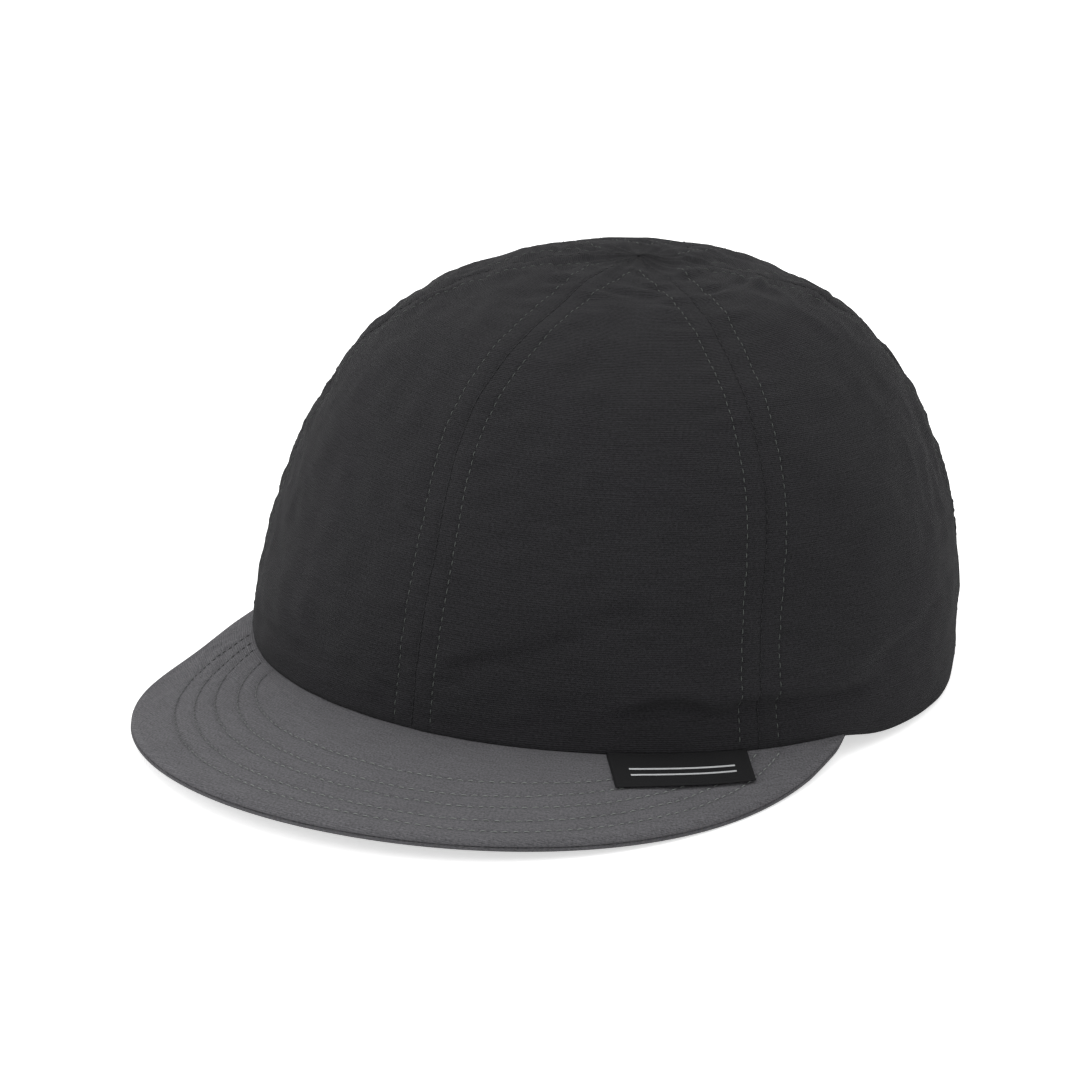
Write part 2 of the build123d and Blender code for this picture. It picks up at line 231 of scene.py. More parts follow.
def elastic_gathers(p, th, z):
    """Elastic at the back draws the cloth into small upright gathers."""
    from_back = np.abs(turned(th, pi / 2))
    elastic = step((radians(56) - from_back) / radians(3))
    pleat = np.sin(2 * pi * th * R / 9.5 + 1.8 * noise(p * (1, 1, 0.3), 35, 5))
    return elastic * (0.62 * pleat - 0.35) * np.exp(-z / 20)


def sewing(from_seam, top):
    """A groove along each seam, a double layer either side, and the pulled-in topstitch rows."""
    groove, row = 0.22 * bell(from_seam, 0.65), 0.08 * bell(from_seam - ROW, 0.7)
    return np.clip(top / 14, 0.3, 1) * (0.07 * bell(from_seam - 3, 2.0) - groove - row)


def relief(th, s, sewn=True):
    """How far the soft cloth stands out from the CAD surface at this place, in mm."""
    r, z = wall(s)
    p = place(r, th, z)
    v = arc(s)
    top = TOP - v
    from_seam, seam = seam_distance(th, r)
    h = wrinkles(p, th, z, top) + slump(th, z, top, from_seam) + puckers(p, v, top, from_seam, seam)
    h += top_gather(th, top) + slack_folds(th, z) + elastic_gathers(p, th, z)
    if sewn:
        h += sewing(from_seam, top)
    # the edge lies flat on the brim, and nothing moves round the eyelets
    h *= 0.35 + 0.65 * np.clip(z / 7, 0, 1)
    x = r * np.cos(th)
    for side in (1, -1):
        spot = np.hypot(x - side * EYELET_X, z - CORD_Z)
        h *= 1 - bell(np.where(np.sin(th) > 0, spot, 1e3), 6.5)
    return h


def crown(th, s, depth=0.0, follow=1.0, sewn=True):
    """A point at this depth in the crown; follow is how much of the outer cloth's relief it shows."""
    th, s = np.broadcast_arrays(np.asarray(th, float), np.asarray(s, float))
    r, z = wall(s, depth - follow * relief(th, s, sewn))
    return place(np.maximum(r, 0), th, z)


def normals(fn, a, b, by=1e-3):
    """Unit normals of the surface that fn gives over a and b."""
    da = fn(a + by, b) - fn(a - by, b)
    db = fn(a, b + by) - fn(a, b - by)
    n = np.cross(da, db)
    return n / np.maximum(np.linalg.norm(n, axis=-1, keepdims=True), 1e-9)


# ---- Mesh helpers -----------------------------------------------------------------------------
def make(name, verts, faces, material, body, slot, nodes=(), attrs=None):
    """A piece from points in mm. Its attrs are values for the material, one for each point."""
    mesh = bpy.data.meshes.new(name)
    mesh.from_pydata([tuple(v) for v in np.asarray(verts) * MM], [], faces)
    mesh.validate()
    mesh.shade_smooth()
    for key, values in (attrs or {}).items():
        layer = mesh.attributes.new(key, "FLOAT", "POINT")
        layer.data.foreach_set("value", np.asarray(values, "f").ravel())
    obj = bpy.data.objects.new(name, mesh)
    bpy.context.collection.objects.link(obj)
    mesh.materials.append(material)
    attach(obj, body)
    if nodes:
        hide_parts(*nodes)
    return obj


def sheet(name, outer, inner, material, slot, nodes=(), attrs=None, ring=False):
    """A closed skin between an outer and an inner grid of points; ring joins its first and last rows."""
    rows, cols = outer.shape[:2]
    index = np.arange(rows * cols).reshape(rows, cols)
    below = index + rows * cols
    faces = []

    def quads(g, flip):
        nxt = np.roll(g, -1, 0) if ring else g[1:]
        cur = g if ring else g[:-1]
        q = np.stack([cur[:, :-1], nxt[:, :-1], nxt[:, 1:], cur[:, 1:]], -1).reshape(-1, 4)
        faces.extend((q[:, ::-1] if flip else q).tolist())

    quads(index, False)
    quads(below, True)
    quads(np.stack([below[:, 0], index[:, 0]], 1), False)
    quads(np.stack([index[:, -1], below[:, -1]], 1), False)
    if not ring:
        for g, b, flip in ((index[0], below[0], True), (index[-1], below[-1], False)):
            q = np.stack([g[:-1], g[1:], b[1:], b[:-1]], -1)
            faces.extend((q[:, ::-1] if flip else q).tolist())
    verts = np.concatenate([outer.reshape(-1, 3), inner.reshape(-1, 3)])
    doubled = {k: np.concatenate([np.ravel(v), np.ravel(v)]) for k, v in (attrs or {}).items()}
    return make(name, verts, faces, material, "cap", slot, nodes, doubled)


def lengths(points):
    """How far along a line each of its points is."""
    return np.concatenate([[0], np.cumsum(np.linalg.norm(np.diff(points, axis=0), axis=1))])


def read_along(values, length, at):
    """What a line's points hold, read between them at these lengths."""
    return np.stack([np.interp(at, length, values[:, i]) for i in range(3)], -1)


def tube_faces(rings, sides, first=0):
    """Faces of a closed tube whose points come ring by ring."""
    index = first + np.arange(rings * sides).reshape(rings, sides)
    nxt = np.roll(index, -1, 1)
    quads = np.stack([index[:-1], nxt[:-1], nxt[1:], index[1:]], -1).reshape(-1, 4).tolist()
    return quads + [index[0, ::-1].tolist(), index[-1].tolist()]


def tube(pts, radius):
    """A closed tube along points; its radius is given for every point and every side."""
    ahead = np.gradient(pts, axis=0)
    ahead /= np.linalg.norm(ahead, axis=1)[:, None]
    side = np.zeros_like(pts)
    ref = np.array([0.0, 0.1, 1])
    for i in range(len(pts)):
        ref = ref - ahead[i] * (ref @ ahead[i])
        ref /= np.linalg.norm(ref)
        side[i] = ref
    other = np.cross(ahead, side)
    sides = radius.shape[1]
    turn = (np.arange(sides) * 2 * pi / sides)[None, :, None]
    ring = pts[:, None] + radius[..., None] * (np.cos(turn) * side[:, None] + np.sin(turn) * other[:, None])
    return ring.reshape(-1, 3), tube_faces(len(pts), sides)


# One stitch: how thick and how high its rings are, as shares of the thread's radius
STITCH_THICK = np.array([0.3, 0.85, 1.0, 0.85, 0.3])
STITCH_RISE = np.array([-0.9, 0.1, 0.35, 0.1, -0.9])
STITCH_SIDES, STITCH_FLAT, STITCH_WOBBLE = 6, 0.8, 0.06


def stitches(runs, pitch, fill, radius, lift):
    """Runs of separate thread stitches. Each run is (points, normals) along a row."""
    verts, faces = [], []
    rings = len(STITCH_THICK)
    turn = (np.arange(STITCH_SIDES) * 2 * pi / STITCH_SIDES)[None, :, None]
    for points, norms in runs:
        length = lengths(points)
        for i in range(int(length[-1] / pitch)):
            wobble = rng.uniform(-STITCH_WOBBLE, STITCH_WOBBLE, 2)
            at = (i + 0.5 + np.linspace(-0.5, 0.5, rings) * (fill + wobble[0])) * pitch
            p, n = read_along(points, length, at), read_along(norms, length, at)
            along = p[-1] - p[0]
            along /= np.linalg.norm(along) + 1e-9
            side = np.cross(along, n)
            side /= np.linalg.norm(side, axis=1, keepdims=True) + 1e-9
            centre = p + n * (radius * STITCH_RISE + lift)[:, None] + side * wobble[1]
            round_it = np.cos(turn) * side[:, None] + np.sin(turn) * n[:, None] * STITCH_FLAT
            ring = centre[:, None] + radius * STITCH_THICK[:, None, None] * round_it
            faces += tube_faces(rings, STITCH_SIDES, len(verts) * rings * STITCH_SIDES)
            verts.append(ring.reshape(-1, 3))
    return np.concatenate(verts), faces


# ---- Materials --------------------------------------------------------------------------------
class Nodes:
    """A small helper that makes and joins shader nodes."""

    def __init__(self, name, color, rough, sheen=0.0, metal=0.0):
        self.mat = bpy.data.materials.new(name)
        self.mat.use_nodes = True
        self.tree = self.mat.node_tree
        self.bsdf = self.tree.nodes["Principled BSDF"]
        self.mat.diffuse_color = (*color, 1)
        self.bsdf.inputs["Base Color"].default_value = (*color, 1)
        self.bsdf.inputs["Roughness"].default_value = rough
        self.bsdf.inputs["Metallic"].default_value = metal
        self.bsdf.inputs["Sheen Weight"].default_value = sheen
        self.bsdf.inputs["Sheen Roughness"].default_value = 0.45
        self.bsdf.inputs["Specular IOR Level"].default_value = 0.3

    def node(self, kind, **values):
        n = self.tree.nodes.new(kind)
        for key, value in values.items():
            if key in n.inputs.keys():
                n.inputs[key].default_value = value
            else:
                setattr(n, key, value)
        return n

    def link(self, a, b):
        self.tree.links.new(a, b)

    def math(self, op, a, b=None):
        n = self.node("ShaderNodeMath", operation=op)
        for socket, value in zip(n.inputs, (a, b)):
            if isinstance(value, (int, float)):
                socket.default_value = value
            elif value is not None:
                self.link(value, socket)
        return n.outputs[0]

    def total(self, *terms):
        """The sum of values, each times its share."""
        out = None
        for value, share in terms:
            part = self.math("MULTIPLY", value, share)
            out = part if out is None else self.math("ADD", out, part)
        return out

    def attr(self, name):
        return self.node("ShaderNodeAttribute", attribute_name=name).outputs["Fac"]

    def scaled(self, u, across, v, along):
        """A place on the piece for a pattern, stretched each way."""
        n = self.node("ShaderNodeCombineXYZ")
        self.link(self.math("MULTIPLY", u, across), n.inputs["X"])
        self.link(self.math("MULTIPLY", v, along), n.inputs["Y"])
        return n.outputs[0]

    def noise(self, vector, scale, detail=3.0, rough=0.55):
        n = self.node("ShaderNodeTexNoise", Scale=scale, Detail=detail, Roughness=rough)
        self.link(vector, n.inputs["Vector"])
        return n.outputs["Fac"]

    def position(self):
        return self.node("ShaderNodeTexCoord").outputs["Object"]

    def bump(self, height, distance, strength=1.0, after=None):
        n = self.node("ShaderNodeBump", Strength=strength, Distance=distance)
        self.link(height, n.inputs["Height"])
        if after is not None:
            self.link(after, n.inputs["Normal"])
        return n.outputs["Normal"]

    def tint(self, factor, dark, light):
        n = self.node("ShaderNodeMix", data_type="RGBA")
        self.link(factor, n.inputs["Factor"])
        n.inputs["A"].default_value = (*dark, 1)
        n.inputs["B"].default_value = (*light, 1)
        self.link(n.outputs["Result"], self.bsdf.inputs["Base Color"])
        return n.outputs["Result"]

    def finish(self, normal):
        self.link(normal, self.bsdf.inputs["Normal"])
        return self.mat


def bell_node(m, value, width):
    """The same bump as bell, in shader nodes."""
    off = m.math("DIVIDE", value, width)
    return m.math("POWER", 2.718, m.math("MULTIPLY", m.math("MULTIPLY", off, off), -1.0))


def shades(color, low, high):
    """A darker and a lighter shade of a colour."""
    return tuple(c * low for c in color), tuple(c * high for c in color)


def cloth(name, color, rib=0.62, rib_depth=0.00006, slub=0.35, sheen=0.1, rough=0.85, rows=None,
          streak=0.15, grain=2.3, grain_size=(1.3, 2.3), painted_row_shade=0.12):
    """Woven cloth drawn in millimetres along (gu) and up (gv) the piece, with sewn rows if asked; the rows'
    grooves get painted shade.
    """
    m = Nodes(name, color, rough, sheen)
    m.bsdf.inputs["Specular IOR Level"].default_value = 0.18
    u, v = m.attr("gu"), m.attr("gv")
    wander = m.noise(m.scaled(u, 0.02, v, 0.1), 1.0, 2.0)
    lines = m.math("SINE", m.total((v, 2 * pi / rib), (wander, 9.0)))
    across = m.math("SINE", m.math("MULTIPLY", u, 2 * pi / (rib * 0.55)))
    slubs = m.noise(m.scaled(u, 0.1, v, 1.5), 1.0, 4.0, 0.65)
    fine = m.noise(m.scaled(u, grain_size[0], v, grain_size[1]), 1.0, 3.0, 0.7)
    broad = m.noise(m.scaled(u, 0.04, v, 0.05), 1.0, 3.0)
    normal = m.bump(m.total((lines, 0.5), (across, 0.22), (fine, 1.3)), rib_depth)
    normal = m.bump(m.total((slubs, 1.0), (fine, 0.25)), slub * MM, 0.7, normal)
    mix = m.total((slubs, 0.8), (broad, 0.2), (m.math("SUBTRACT", fine, 0.5), grain), (lines, streak))
    if rows:
        groove = bell_node(m, m.attr("row"), rows)
        normal = m.bump(m.math("MULTIPLY", groove, -1.0), 0.00015, 0.8, normal)
        # painted shade: the cloth is darkened along the sunk rows
        mix = m.math("SUBTRACT", mix, m.math("MULTIPLY", groove, painted_row_shade))
    m.tint(mix, *shades(color, 0.55, 1.5))
    return m.finish(normal)


def foam(name, color):
    """Closed-cell foam with fine round cells."""
    m = Nodes(name, color, 0.92, 0.1)
    p = m.position()
    cells = m.node("ShaderNodeTexVoronoi", Scale=900.0)
    m.link(p, cells.inputs["Vector"])
    m.tint(m.noise(p, 300.0), *shades(color, 0.7, 1.3))
    return m.finish(m.bump(cells.outputs["Distance"], 0.00025))


def plastic(name, color, rough, grain=1800.0, depth=0.00003, metal=0.0):
    """A hard surface with a fine moulded grain, or metal."""
    m = Nodes(name, color, rough, 0.0, metal)
    m.bsdf.inputs["Specular IOR Level"].default_value = 0.5
    p = m.position()
    spread = m.noise(p, 120.0)
    rough_mix = m.math("ADD", m.math("MULTIPLY", spread, 0.2), rough - 0.1)
    m.link(rough_mix, m.bsdf.inputs["Roughness"])
    m.tint(spread, *shades(color, 0.8, 1.2))
    return m.finish(m.bump(m.noise(p, grain, 2.0), depth))


def thread(name, color, painted_shade_color=None):
    """Sewing thread; its second colour, if given, is painted shade that it darkens to towards the wearer's
    right.
    """
    m = Nodes(name, color, 0.6, 0.05)
    p = m.position()
    spots = m.noise(p, 700.0)
    if painted_shade_color is None:
        m.tint(spots, *shades(color, 0.7, 1.3))
    else:
        split = m.node("ShaderNodeSeparateXYZ")
        m.link(p, split.inputs[0])
        # painted shade: the thread is lighter towards the wearer's left and darker towards the wearer's
        # right
        near = m.math("ADD", m.math("MULTIPLY", split.outputs["X"], 22.0), 1.35)
        m.tint(m.total((near, 1.0), (m.math("SUBTRACT", spots, 0.5), 0.8)), painted_shade_color, color)
    return m.finish(m.bump(m.noise(p, 5000.0), 0.00005))


CROWN = (0.0178, 0.0173, 0.0193)
BRIM = (0.107, 0.105, 0.112)
crown_cloth = cloth("crown_cloth", CROWN, rib=0.55, rib_depth=0.00013, slub=0.26, sheen=0.03, rows=0.55,
                    streak=0.2, grain=3.1)
brim_cloth = cloth("brim_cloth", BRIM, rib=0.6, rib_depth=0.0001, slub=0.06, sheen=0.03, rough=0.9,
                   rows=0.75, streak=0.12, grain=2.4, grain_size=(1.5, 1.7), painted_row_shade=0.16)
tape_cloth = cloth("tape_cloth", (0.016, 0.016, 0.017), rib=0.8, rib_depth=0.0001, slub=0.05, rows=0.5)
band_cloth = cloth("band_cloth", (0.020, 0.020, 0.022), rib=1.1, rib_depth=0.00018, slub=0.05, sheen=0.3,
                   rows=0.7)
crown_thread = thread("crown_thread", (0.066, 0.073, 0.068))
seam_thread = thread("seam_thread", (0.010, 0.010, 0.011))
# the brim's thread is given painted shade, darker towards the wearer's right
brim_thread = thread("brim_thread", (0.200, 0.215, 0.205), (0.072, 0.075, 0.075))
foam_pad = foam("foam_pad", (0.040, 0.040, 0.043))


# ---- Crown panels -----------------------------------------------------------------------------
PANELS = ["front_left_panel", "side_left_panel", "rear_left_panel",
          "rear_right_panel", "side_right_panel", "front_right_panel"]
# Mesh columns beside a seam, in mm from it, and mesh rows up from the rim; both are closer where
# the cloth is sewn or folded
NEAR_SEAM = np.array([0.04, 0.45, 0.9, 1.5, 2.3, 3.3, 4.4, 5.1, 5.7, 6.3, 7.2, 8.6, 10.4, 12.6, 15.0])
NARROW = 26.0                                    # below this half width the near columns close up
FAR_COLUMNS = 14
PANEL_ROWS = np.concatenate([[0.0, 0.35, 0.8, 1.5], np.arange(2.6, 8, 1.1), np.arange(8.6, 19, 0.6),
                             np.arange(19.4, TOP - 1.2, 1.4), [TOP - 0.5]])


def panel_columns(r, half):
    """Distances from a seam, close together beside it, out to the middle of the panel."""
    width = (r * sin(half))[:, None]
    near = NEAR_SEAM * np.minimum(1, width / NARROW)
    far = near[:, -1:] + (width - near[:, -1:]) * np.linspace(0, 1, FAR_COLUMNS + 1)[1:]
    return np.concatenate([near, far], 1)


def panel(i):
    """One panel of the crown, from its seam to the next, with its edge at the rim rolled in."""
    start = SEAMS[i]
    end = SEAMS[(i + 1) % 6]
    end += 2 * pi if end < start else 0
    half, mid = (end - start) / 2, (start + end) / 2
    s = s_at_arc(PANEL_ROWS)
    r = wall(s)[0]
    offset = np.arcsin(np.clip(panel_columns(r, half) / r[:, None], 0, sin(half)))
    th = np.concatenate([start + offset, (end - offset)[:, ::-1][:, 1:]], 1)
    ss = np.repeat(s[:, None], th.shape[1], 1)
    outer = crown(th, ss, 0.3 * bell(PANEL_ROWS, 0.6)[:, None])
    inner = crown(th, ss, FABRIC + 0.02)
    radius = wall(ss)[0]
    attrs = {
        "gu": (th - mid) * np.maximum(radius, 25),
        "gv": arc(ss) + 100 * i,
        "row": np.minimum(np.abs(seam_distance(th, radius)[0] - ROW), 3.0),
    }
    obj = sheet(PANELS[i].replace("panel", "cloth"), outer.transpose(1, 0, 2), inner.transpose(1, 0, 2),
                crown_cloth, "crown_fabric", [PANELS[i]], {k: a.T for k, a in attrs.items()})
    if PANELS[i].startswith("rear"):
        cut_eyelet_hole(obj)


HOLE_R, HOLE_DEEP = 0.0028, 0.006                # in metres, like the mesh


def cut_eyelet_hole(obj):
    """Opens the cloth under the flange of each eyelet."""
    low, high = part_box("left_eyelet")
    centre = (low + high) / 2
    bm = bmesh.new()
    bm.from_mesh(obj.data)
    doomed = []
    for f in bm.faces:
        c = f.calc_center_median()
        off = Vector((abs(c.x) - centre.x, c.z - centre.z))
        if c.y > centre.y - HOLE_DEEP and off.length < HOLE_R:
            doomed.append(f)
    bmesh.ops.delete(bm, geom=doomed, context="FACES")
    bm.to_mesh(obj.data)
    bm.free()


for number in range(6):
    panel(number)


def crown_run(seam, offset, low, high):
    """A row of stitches beside a seam, between two lengths up the cloth."""
    s = s_at_arc(np.linspace(low, high, 160))
    th = SEAMS[seam] + np.arcsin(np.clip(offset / wall(s)[0], -0.52, 0.52))
    return crown(th, s), normals(crown, th, s)


top_rows = [crown_run(seam, side * ROW, 2.0, TOP - 12.2) for seam in range(6) for side in (-1, 1)]
seam_rows = [crown_run(seam, 0.0, 1.5, TOP - 3) for seam in range(6)]
make("crown_topstitches", *stitches(top_rows, 2.5, 0.68, 0.15, 0.05), crown_thread, "cap", "crown_fabric")
make("crown_seam_stitches", *stitches(seam_rows, 2.6, 0.6, 0.15, 0.10), seam_thread, "cap", "crown_fabric")


# ---- Cloth inside the crown -------------------------------------------------------------------
TAPE_HALF, TAPE_TOP_R = 7.9, 17.2
TAPE_DEPTHS = 0.82, 1.28                         # all depths are from the outside of the crown
BAND_TALL, BAND_FROM_BACK = 34.0, 58.6           # the sweatband stops short of the back
CASING_TALL, CASING_FROM_BACK = 13.5, 57.4       # and the elastic casing is there
GAP = 0.04                                       # between layers that lie on each other
FULL_TURN = np.linspace(0, 2 * pi, 97)[:-1]
TAPES = ["front_seam_tape", "front_left_seam_tape", "rear_left_seam_tape",
         "rear_seam_tape", "rear_right_seam_tape", "front_right_seam_tape"]


def patch(name, node, material, slot, th, v, depths, ripple=0.0, rows=(), ring=False, round_by=0.0):
    """A strip of lining between two depths over a grid of angles and arc lengths."""
    tt, vv = np.meshgrid(th, v, indexing="ij")
    s = s_at_arc(vv)
    r, z = wall(s)
    wave = ripple * noise(place(r, tt, z) * (1, 1, 0.4), 22, 11)
    edge = np.minimum(vv - v[0], v[-1] - vv)
    if not ring:
        edge = np.minimum(edge, np.minimum(tt - th[0], th[-1] - tt) * np.maximum(r, 1))
    pull = 0.0
    if round_by:
        bend = 1 - np.clip(edge / round_by, 0, 1)
        pull = 0.92 * (depths[1] - depths[0]) / 2 * (1 - np.sqrt(1 - bend**2))
    outer = crown(tt, s, depths[0] + pull + GAP, sewn=False)
    inner = crown(tt, s, depths[1] - pull - 0.9 * wave - GAP, sewn=False)
    near = np.full(vv.shape, 9.0)
    for row in rows:
        near = np.minimum(near, np.abs(vv - row))
    attrs = {"gu": tt * np.maximum(r, 20), "gv": vv, "row": near}
    sheet(name, outer, inner, material, slot, [node], attrs, ring=ring)


def tape(i):
    """The binding over one seam's turned-in edges."""
    v = np.linspace(1.2, arc(s_at_r(TAPE_TOP_R)), 90)
    off = np.linspace(-TAPE_HALF, TAPE_HALF, 11)
    s = s_at_arc(v)
    th = SEAMS[i] + np.arcsin(off[:, None] / wall(s)[0])
    ss = np.repeat(s[None], len(off), 0)
    bulge = 0.1 * bell(np.abs(off)[:, None] - 6.5, 1.0)
    outer = crown(th, ss, TAPE_DEPTHS[0], sewn=False)
    inner = crown(th, ss, TAPE_DEPTHS[1] + bulge, sewn=False)
    attrs = {
        "gu": np.repeat(off[:, None], len(v), 1),
        "gv": np.repeat(v[None], len(off), 0),
        "row": np.repeat(np.abs(np.abs(off) - ROW)[:, None], len(v), 1),
    }
    name = TAPES[i].replace("seam_tape", "binding")
    sheet(name, outer, inner, tape_cloth, "tape_fabric", [TAPES[i]], attrs)


for number in range(6):
    tape(number)
patch("top_disc", "top_patch", tape_cloth, "tape_fabric", FULL_TURN,
      np.linspace(arc(s_at_r(16.0)), TOP - 0.3, 14), (0.8, 1.3), ring=True)
patch("sweatband_cloth", "sweatband", band_cloth, "sweatband_fabric",
      np.linspace(radians(90 + BAND_FROM_BACK), radians(450 - BAND_FROM_BACK), 190),
      np.linspace(0.05, arc(s_at_z(BAND_TALL)) - 0.1, 22),
      (1.5, 4.3), ripple=0.25, rows=(3.0, 31.0), round_by=1.4)
patch("casing_cloth", "rear_casing", band_cloth, "sweatband_fabric",
      np.linspace(radians(90 - CASING_FROM_BACK), radians(90 + CASING_FROM_BACK), 170),
      np.linspace(0.05, arc(s_at_z(CASING_TALL)) - 0.05, 14),
      (1.4, 5.8), ripple=0.5, rows=(2.0, 11.5), round_by=2.0)

# The pocket's section, as depth and height: up its outer wall, down to its floor, up its inner wall,
# over the mouth and back under the floor
POCKET_PATH = [(1.55, 35.7), (1.55, 41), (1.55, 46.8), (2.1, 47.0), (2.7, 46.8), (2.75, 42), (2.8, 38.1),
               (3.4, 37.8), (5.0, 37.8), (5.75, 38.1), (5.8, 42), (5.85, 46.8), (6.5, 47.2), (7.1, 46.8),
               (7.2, 42), (7.1, 36.4), (6.4, 35.5), (4.0, 35.4), (2.2, 35.5)]
POCKET_ROW = 45.5


def pocket():
    """The channel of cloth that holds the shell's lower edge, with its inner wall gathered a little."""
    th = np.linspace(0, 2 * pi, 241)[:-1]
    gather = 0.35 * np.sin(2 * pi * th * R / 7.5 + 1.5 * np.sin(7 * th))
    pts = []
    for depth, z in POCKET_PATH:
        ripple = gather if depth > 5 else 0.0
        follow = 0.6 if depth < 2.5 else 0.0
        pts.append(crown(th, np.full(th.shape, s_at_z(z)), depth + ripple, follow, False))
    grid = np.stack(pts, 1)
    rows, cols = grid.shape[:2]
    index = np.arange(rows * cols).reshape(rows, cols)
    nxt, up = np.roll(index, -1, 0), np.roll(index, -1, 1)
    quads = np.stack([index, nxt, np.roll(nxt, -1, 1), up], -1).reshape(-1, 4).tolist()
    depths, heights = np.array(POCKET_PATH).T
    around = np.concatenate([[0], np.cumsum(np.hypot(np.diff(depths), np.diff(heights)))])
    attrs = {
        "gu": np.repeat((th * R)[:, None], cols, 1),
        "gv": np.repeat(around[None], rows, 0),
        "row": np.repeat(np.abs(heights - POCKET_ROW)[None], rows, 0),
    }
    make("pocket_cloth", grid.reshape(-1, 3), quads, tape_cloth, "cap", "tape_fabric", ["shell_pocket"],
         attrs)


pocket()


# ---- Foam pads --------------------------------------------------------------------------------
SHELL_INSIDE = 5.85                              # depth of the hard shell's inner face
PAD_THICK, PAD_ROUND = 6.9, 6.0
PAD_HALF, PAD_LOW, PAD_HIGH = radians(26.9), 56.8, 86.5
CROWN_PAD_R = 38.5


def pad(name, node, th, v, ring=False):
    """A foam pad on the inside of the shell, that thins to a round edge."""
    tt, vv = np.meshgrid(th, v, indexing="ij")
    s = s_at_arc(vv)
    edge = vv - v[0]
    if not ring:
        ends = np.minimum(tt - th[0], th[-1] - tt) * wall(s)[0]
        edge = np.minimum(np.minimum(edge, v[-1] - vv), ends)
    soft = 1 - np.clip(edge / PAD_ROUND, 0, 1)
    thick = PAD_THICK * np.sqrt(np.maximum(1 - soft**2.4, 0.012))
    r_out, z_out = wall(s, SHELL_INSIDE)
    r_in, z_in = wall(s, SHELL_INSIDE + thick)
    outer, inner = place(r_out, tt, z_out), place(np.maximum(r_in, 0), tt, z_in)
    sheet(name, outer, inner, foam_pad, "pad_foam", [node], ring=ring)


for side, angle in (("front", -90), ("left", 0), ("rear", 90), ("right", 180)):
    pad(f"{side}_foam", f"{side}_pad", np.linspace(radians(angle) - PAD_HALF, radians(angle) + PAD_HALF, 60),
        np.linspace(arc(s_at_z(PAD_LOW)), arc(s_at_z(PAD_HIGH)), 34))
pad("crown_foam", "crown_pad", FULL_TURN, np.linspace(arc(s_at_r(CROWN_PAD_R)), TOP - 0.3, 30), ring=True)


# ---- Brim -------------------------------------------------------------------------------------
# Angles of the brim are in degrees from the middle of the front, and lengths out are from the rim
REACH, FULL = 59.0, 1.45                         # the brim's length, and how full its outline is
SPAN, CUT = 74.5, 74.0                           # where the outline would end, and where the cloth does
DROOP, SIDE_DROOP, SINK = 5.1, 17.6, 1.7
FACE, LINING, BOARD = 1.6, 0.95, 0.78            # levels above and below the brim's middle sheet
TUCK = 4.6                                       # how far the brim goes in under the crown
# Sewn rows: share of the reach, angle where the row ends, fullness
BRIM_ROWS = [(0.895, 57.8, 1.10), (0.794, 53.5, 1.05), (0.660, 50.0, 0.98), (0.554, 43.8, 0.90),
             (0.398, 38.6, 0.66)]
ROW_CENTRE = 3.5                                 # they sit a little off the brim's centre


def brim_reach(phi):
    """The brim's outline, which on one side is drawn in a little by the way the cap lies."""
    full = REACH * np.maximum(1 - (phi / SPAN) ** 2, 0) ** FULL
    ends = np.clip((np.abs(phi) - 70) / (CUT - 70), 0, 1) ** 2
    drawn_in = 0.38 * step(-(phi + 47) / 3.8)
    return full * (1 - drawn_in) + np.clip(full / 10, 0, 1) - 0.9 * ends


def brim_row(row, phi):
    """How far out a sewn row is, and below zero past its ends."""
    share, end, fullness = row
    off = np.abs(phi - ROW_CENTRE) / end
    return REACH * share * np.maximum(1 - off**2, 0) ** fullness - 2.0 * (off >= 1)


def brim_base(phi, w, level):
    """A point of the upright brim, w out from the rim and level above its middle sheet."""
    phi, w = np.broadcast_arrays(np.asarray(phi, float), np.asarray(w, float))
    turn = np.radians(phi - 90)
    nx, ny = np.cos(turn) / R, np.sin(turn) / B
    size = np.hypot(nx, ny)
    slope = np.radians(DROOP + SIDE_DROOP * (phi / SPAN) ** 2)
    out = np.where(w > 0, w * np.cos(slope), w)
    drop = SINK + np.where(w > 0, w * np.sin(slope), 0)
    # the layers draw together towards the brim's ends
    thin = 1 - 0.8 * np.clip((np.abs(phi) - 69) / (CUT - 69), 0, 1) ** 2
    level = FACE - (FACE - level) * thin
    return R * np.cos(turn) + out * nx / size, B * np.sin(turn) + out * ny / size, level - drop


def brim_relief(phi, w):
    """How far the brim's cloth stands above its even form: waves, puckers and sewn rows."""
    p = np.stack(brim_base(phi, w, 0), -1)
    h = 0.16 * noise(p, 60, 21) + 0.05 * noise(p, 17, 22)
    # small puckers across the sewn rows, most of them on the wearer's right
    along = np.radians(phi) * (R + w)
    ripple = np.sin(2 * pi * along / 6.8 + 2.2 * noise(p, 26, 23))
    ripple += 0.5 * np.sin(2 * pi * along / 4.4 + w / 3)
    h += ripple * (0.03 + 0.12 * step(-(phi + 35) / 5)) * np.clip(w / 8, 0, 1)
    for row in BRIM_ROWS:
        at = brim_row(row, phi)
        h -= np.where(at > 0, 0.20 * bell(w - at, 0.9), 0)
    return h * np.clip((brim_reach(phi) - w) / 4, 0, 1) * np.clip((w + 1) / 4, 0, 1)


def brim(phi, w, level, relief_by=1.0):
    """A point of the brim as the cap lies on the table."""
    x, y, z = brim_base(phi, w, level)
    return rest(x, y, z + relief_by * brim_relief(phi, w))


